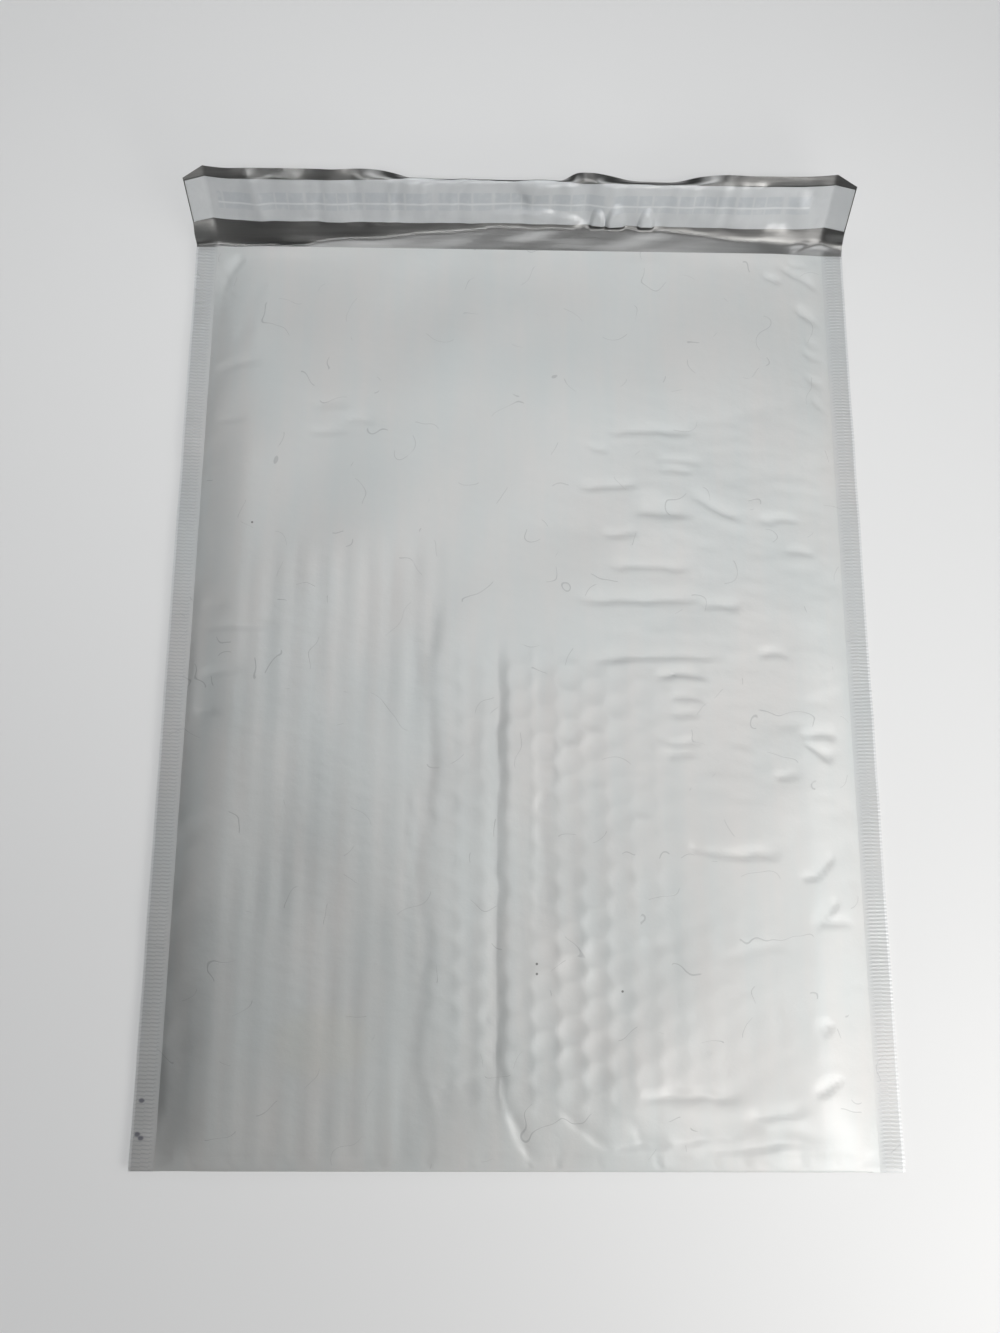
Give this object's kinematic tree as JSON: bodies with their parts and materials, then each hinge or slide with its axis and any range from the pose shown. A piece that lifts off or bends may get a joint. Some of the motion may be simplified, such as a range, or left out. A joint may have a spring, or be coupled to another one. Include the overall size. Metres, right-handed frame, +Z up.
{
  "type": "padded envelope",
  "caption": "White plastic film mailing envelope with a bubble lining, crimped side seals and an open flap that carries a closing strip under a release liner.",
  "frame": {"origin": "middle of the back panel, on the plane that the envelope lies on", "axes": "+Y from the bottom fold to the mouth, +Z up through the front panel, +X across the pouch"},
  "size_m": [0.3, 0.4192, 0.0309],
  "materials": {
    "outer_film": "satin white film outside, silvery grey inside",
    "bubble_lining": "clear glossy film",
    "adhesive_strip": "tacky, slightly cloudy",
    "release_liner": "thin coated film, satin"
  },
  "bodies": {
    "root": {"outer_film": "outer_film", "bubble_lining": "bubble_lining", "adhesive_strip": "adhesive_strip", "release_liner": "release_liner"}
  },
  "joints": []
}
